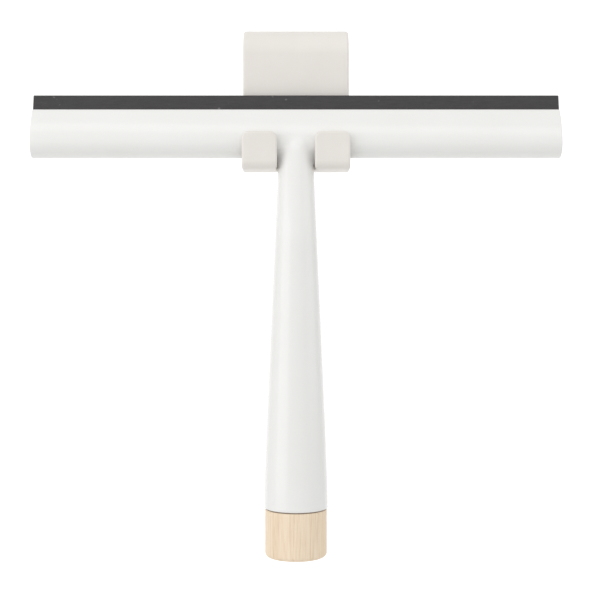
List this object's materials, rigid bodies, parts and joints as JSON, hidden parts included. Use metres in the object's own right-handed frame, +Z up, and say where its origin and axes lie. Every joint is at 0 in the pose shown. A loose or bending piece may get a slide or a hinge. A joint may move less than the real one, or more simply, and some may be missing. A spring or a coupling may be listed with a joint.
{
  "type": "window cleaning squeegee",
  "caption": "T-shaped window squeegee with a rubber blade, leaning neck, tapered round grip and wooden end cap, hanging in an over-panel hook.",
  "frame": {"origin": "axis of the hook's top bend, at the middle of its width, where the hook sits on a rail or a panel's edge", "axes": "+X along the rail and the blade, -Y towards the user, +Z up"},
  "size_m": [0.251, 0.054, 0.2534],
  "materials": {
    "hook_plastic": "fine matte warm white",
    "shell_white": "glossy white moulding",
    "plug_white": "satin white",
    "channel_aluminium": "mill extrusion",
    "blade_rubber": "dark grey, cut edge",
    "screw_steel": "zinc plated",
    "plug_grey": "moulded",
    "seal_rubber": "soft black",
    "cap_wood": "turned beech, lightly waxed"
  },
  "bodies": {
    "hook": {"hook": "hook_plastic"},
    "squeegee": {"front_shell": "shell_white", "back_shell": "shell_white", "blade_channel": "channel_aluminium", "shell_screws": "screw_steel", "screw_plugs": "plug_white", "end_plug": "plug_grey", "cap_screw": "screw_steel", "seal_ring": "seal_rubber", "wood_end_cap": "cap_wood"},
    "blade": {"blade": "blade_rubber"}
  },
  "joints": [
    {"name": "squeegee_lift", "type": "slide", "parent": "hook", "child": "squeegee", "axis": [0, 0, 1], "range_m": [0, 0.012]},
    {"name": "blade_slide", "type": "slide", "parent": "squeegee", "child": "blade", "axis": [1, 0, 0], "range_m": [0, 0.251]}
  ]
}
